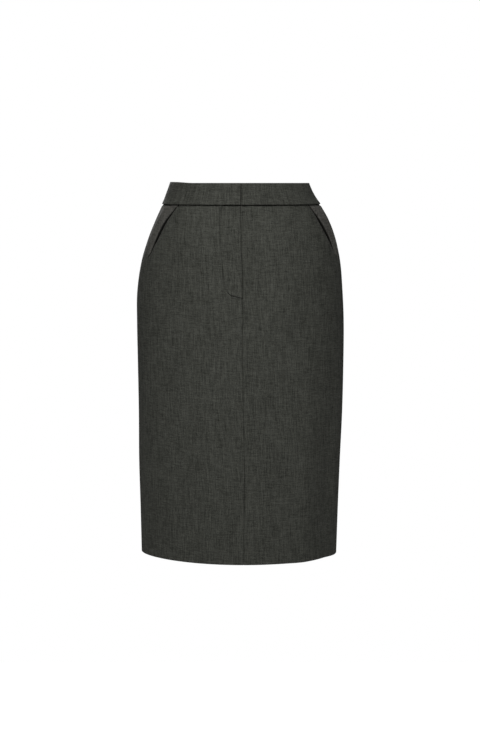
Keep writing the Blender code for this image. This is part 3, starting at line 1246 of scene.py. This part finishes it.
@dataclass
class Waistband(Sheet):
    """The band round the waist. Its right end lies on its left end at the centre front."""

    flat: tuple[float, float] = (0.745, 0.0385)
    thick: float = 2.2 * MM
    proud: float = 1.0 * MM  # the height of its face
    flare: float = 0.5 * MM  # how far its lower edge stands out
    rise: float = 1.7 * MM  # of the top edge at the wearer's right
    wave: float = 0.20 * MM  # the uneven run of its face
    lap: float = 36 * MM
    ease: float = 10 * MM  # how far the left end takes to come up from under the right
    notch: float = 3.2 * MM  # how deep it lies right at the lap's edge
    notch_width: float = 1.1 * MM
    end_lift: float = 0.45 * MM  # how far the right end stands out
    middle_columns: int = 288
    lap_columns: int = 20
    held = "folded"
    rests_on = ("front_left_cloth",)

    @property
    def node(self) -> str:
        """The solid that it stands for."""
        return "waistband"

    def face(self, start: Array, to_end: Array, drop: Array) -> Array:
        """The height of its outer face, before its edges are rounded.

        Args:
            start: the distance from the centre front.
            to_end: the distance to the right end.
            drop: the drops.

        Returns:
            The heights.
        """
        waves = np.sin(start * 61 + 0.6) * np.sin(drop * 95) * smooth((to_end - 0.01) / 0.03)
        height = self.proud + self.flare * smooth((drop - 0.026) / 0.007) + self.wave * waves
        height -= (self.thick + 0.5 * MM) * fade(start, self.ease)
        height -= self.notch * bell(start, self.notch_width) * smooth(0.4 + drop / BAND_DEPTH)
        return height + self.end_lift * fade(to_end, 14 * MM) * smooth((drop - 0.010) / 0.012)

    def build(self) -> bpy.types.Object:
        """Makes the mesh.

        Returns:
            The piece.
        """
        ends = steps((1.2 * MM, 0.2 * MM), (4 * MM, 0.7 * MM))
        foot = BAND_DEPTH - 0.6 * MM
        middle = between(5.2 * MM, foot - 5.2 * MM, 1.3 * MM)
        drop = np.concatenate([ends, middle, (foot - ends)[::-1]])
        tall = drop[:, None]
        under = FORM.turn(np.linspace(-self.lap, -0.6 * MM, self.lap_columns), 0.0, tall)
        over = FORM.turn(steps((2 * MM, 0.25 * MM), (self.ease + 2 * MM, 0.8 * MM)), 0.0, tall)
        close = 2 * math.pi - FORM.turn(ends[::-1], 0.0, tall)
        angles = [under, over, fill(over, close, self.middle_columns), close]
        grid = Grid.on_rows(np.concatenate(angles, axis=1), drop)
        high = 0.5 * MM + self.rise * smooth((-np.sin(grid.angle) - 0.66) / 0.30)
        grid.place[..., 2] += high * (1 - grid.drop / BAND_DEPTH)
        start, to_end = grid.from_column(self.lap_columns), grid.to_last()
        face = self.face(start, to_end, grid.drop)
        edge = np.minimum(np.minimum(grid.drop, foot - grid.drop), np.minimum(to_end, grid.along))
        inner = face - self.thick + rolled(edge, self.thick / 2)
        outer = face - rolled(edge, self.thick / 2 * 0.96)
        across = np.repeat(start[len(drop) // 2][None, :], len(drop), axis=0)
        return sheet_mesh(f"{self.node}_cloth", grid, outer, inner, None, across)


@dataclass
class FlyStitching:
    """The row of stitches that holds the fly's facing, along its groove."""

    pitch: float = 2.7 * MM
    length: float = 2.1 * MM
    radius: float = 0.16 * MM
    sunk: float = 0.34 * MM
    ahead: float = 0.2 * MM  # how far on the line is read for a stitch's direction
    first: float = BAND_DEPTH + 2.5 * MM
    cuts: int = 11
    rounds: int = 12

    def one_stitch(self) -> tuple[Array, Array]:
        """Models one stitch, lying along X.

        Returns:
            Its points and its triangles.
        """
        upright = (0, math.pi / 2, 0)
        bpy.ops.object.select_all(action="DESELECT")
        bpy.ops.mesh.primitive_uv_sphere_add(segments=8, ring_count=6, radius=1.0, rotation=upright)
        bpy.ops.object.transform_apply(location=True, rotation=True, scale=True)
        bpy.ops.object.mode_set(mode="EDIT")
        bpy.ops.mesh.select_all(action="SELECT")
        bpy.ops.mesh.quads_convert_to_tris()
        bpy.ops.transform.resize(value=(self.length / 2, self.radius, self.radius))
        bpy.ops.object.mode_set(mode="OBJECT")
        made = bpy.context.object
        points = np.array([v.co[:] for v in made.data.vertices])
        faces = np.array(sorted(p.vertices[:] for p in made.data.polygons))
        bpy.data.objects.remove(made, do_unlink=True)
        return points, faces

    def on_cloth(self, from_centre: float, drop: float) -> tuple[Array, Array]:
        """A spot on the right front.

        Args:
            from_centre: its distance from the centre front.
            drop: its drop.

        Returns:
            Its place and the normal there.
        """
        drops = np.array([drop])
        angle = -FORM.turn(from_centre, 0.0, drops)
        normal = FORM.normal(angle, drops)[0]
        return FORM.place(angle, drops)[0] + normal * creased(angle, drops)[0], normal

    def build(self) -> bpy.types.Object:
        """Makes the mesh: one stitch, copied along the line.

        Returns:
            The piece.
        """
        line = fly_line(self.cuts, self.rounds)
        line = line[line[:, 1] > self.first]
        hops = np.concatenate([[0], np.cumsum(np.linalg.norm(np.diff(line, axis=0), axis=1))])
        stops = np.arange(self.pitch / 2, hops[-1] - self.pitch / 2, self.pitch)
        points, faces, uvs = [], [], []
        template, triangles = self.one_stitch()
        for k, stop in enumerate(stops):
            (place, out), (further, _) = (
                self.on_cloth(np.interp(s, hops, line[:, 0]), np.interp(s, hops, line[:, 1]))
                for s in (stop, stop + self.ahead)
            )
            run = (further - place) / np.linalg.norm(further - place)
            aside = np.cross(out, run)
            basis = np.stack([run, aside, np.cross(run, aside)])
            points.append(template @ basis + place - out * self.sunk)
            faces.append(triangles + k * len(template))
            uvs.append(template[:, :2] + k * 3 * MM)
        return new_piece("fly_stitching", *map(np.concatenate, (points, faces, uvs)))

    def make(self, thread: bpy.types.Material) -> bpy.types.Object:
        """Makes the stitching, which goes with the right front.

        Args:
            thread: its material.

        Returns:
            The piece.
        """
        piece = self.build()
        piece.data.materials.append(thread)
        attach(piece, BODY)
        log.info("%s: %d faces", piece.name, len(piece.data.polygons))
        return piece


# ---- the studio ----
@dataclass
class SoftLight:
    """A square soft light that looks at a point."""

    name: str
    place: Point
    target: Point
    size: float
    power: float
    spread: float = 180.0  # of its beam, in degrees

    def make(self) -> bpy.types.Object:
        """Adds the light.

        Returns:
            The light.
        """
        data = bpy.data.lights.new(self.name, "AREA")
        data.shape, data.size, data.energy = "SQUARE", self.size, self.power
        data.spread = math.radians(self.spread)
        light = bpy.data.objects.new(self.name, data)
        bpy.context.scene.collection.objects.link(light)
        light.location = self.place
        look = Vector(self.target) - Vector(self.place)
        light.rotation_euler = look.to_track_quat("-Z", "Y").to_euler()
        return light


@dataclass
class Studio:
    """The camera, the lights, the pale floor and the white round it."""

    distance: float = 3.10
    pitch: float = math.radians(5.84)
    lens: float = 89.65
    sensor: float = 36.0
    clip_end: float = 100.0
    floor_height: float = -1.60
    floor_size: float = 6.0
    dome: float = 0.07
    lights: tuple[SoftLight, ...] = (
        SoftLight("key", (-0.07, -1.38, 0.85), (-0.05, -0.11, -0.38), 0.6, 5.85, 64.0),
        SoftLight("top", (0.0, 0.0, 1.9), (0.0, 0.0, -0.1), 0.9, 19.0),
        SoftLight("back", (-0.5, 2.1, 0.9), (0.0, 0.0, -0.3), 0.7, 64.0),
    )

    def camera(self) -> bpy.types.Object:
        """Adds the camera, level with the waist and tipped down a little.

        Returns:
            The camera.
        """
        data = bpy.data.cameras.new("camera")
        data.lens, data.sensor_width, data.clip_end = self.lens, self.sensor, self.clip_end
        camera = bpy.data.objects.new("camera", data)
        bpy.context.scene.collection.objects.link(camera)
        camera.location = (0.0, -self.distance, 0.0)
        camera.rotation_euler = (math.pi / 2 - self.pitch, 0.0, 0.0)
        bpy.context.scene.camera = camera
        return camera

    def surround(self) -> None:
        """Makes the world white to look at and softer as a light."""
        world = bpy.data.worlds.new("studio")
        bpy.context.scene.world = world
        world.use_nodes = True
        tree = world.node_tree
        shown, lit = tree.nodes["Background"], tree.nodes.new("ShaderNodeBackground")
        for background, strength in ((shown, 1.0), (lit, self.dome)):
            background.inputs["Color"].default_value = WHITE
            background.inputs["Strength"].default_value = strength
        rays = tree.nodes.new("ShaderNodeLightPath")
        mix = tree.nodes.new("ShaderNodeMixShader")
        tree.links.new(rays.outputs["Is Camera Ray"], mix.inputs[0])
        tree.links.new(lit.outputs[0], mix.inputs[1])
        tree.links.new(shown.outputs[0], mix.inputs[2])
        tree.links.new(mix.outputs[0], tree.nodes["World Output"].inputs["Surface"])

    def floor(self) -> bpy.types.Object:
        """Adds the floor.

        Returns:
            The floor.
        """
        bpy.ops.object.select_all(action="DESELECT")
        bpy.ops.mesh.primitive_plane_add(size=self.floor_size, location=(0.0, 0.0, self.floor_height))
        floor = bpy.context.object
        floor.name = "studio_floor"
        floor.data.materials.append(StudioFloor().make())
        return floor

    def build(self) -> None:
        """Adds all of it."""
        self.camera()
        self.surround()
        self.floor()
        for light in self.lights:
            light.make()
        view = bpy.context.scene.view_settings
        view.view_transform, view.look = "Standard", "None"


def main() -> None:
    logging.basicConfig(level=logging.INFO, format="%(name)s: %(message)s")
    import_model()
    Studio().build()
    cloth = WoolSuiting("suiting").make()
    behind = WoolSuiting("suiting_behind_pocket").make()
    Waistband().make(cloth)
    for side in Side:
        Front(side).make(cloth)
        PocketBearer(side).make(behind)
        Back(side).make(cloth)
    FlyStitching().make(Thread().make())


if __name__ == "__main__":
    main()
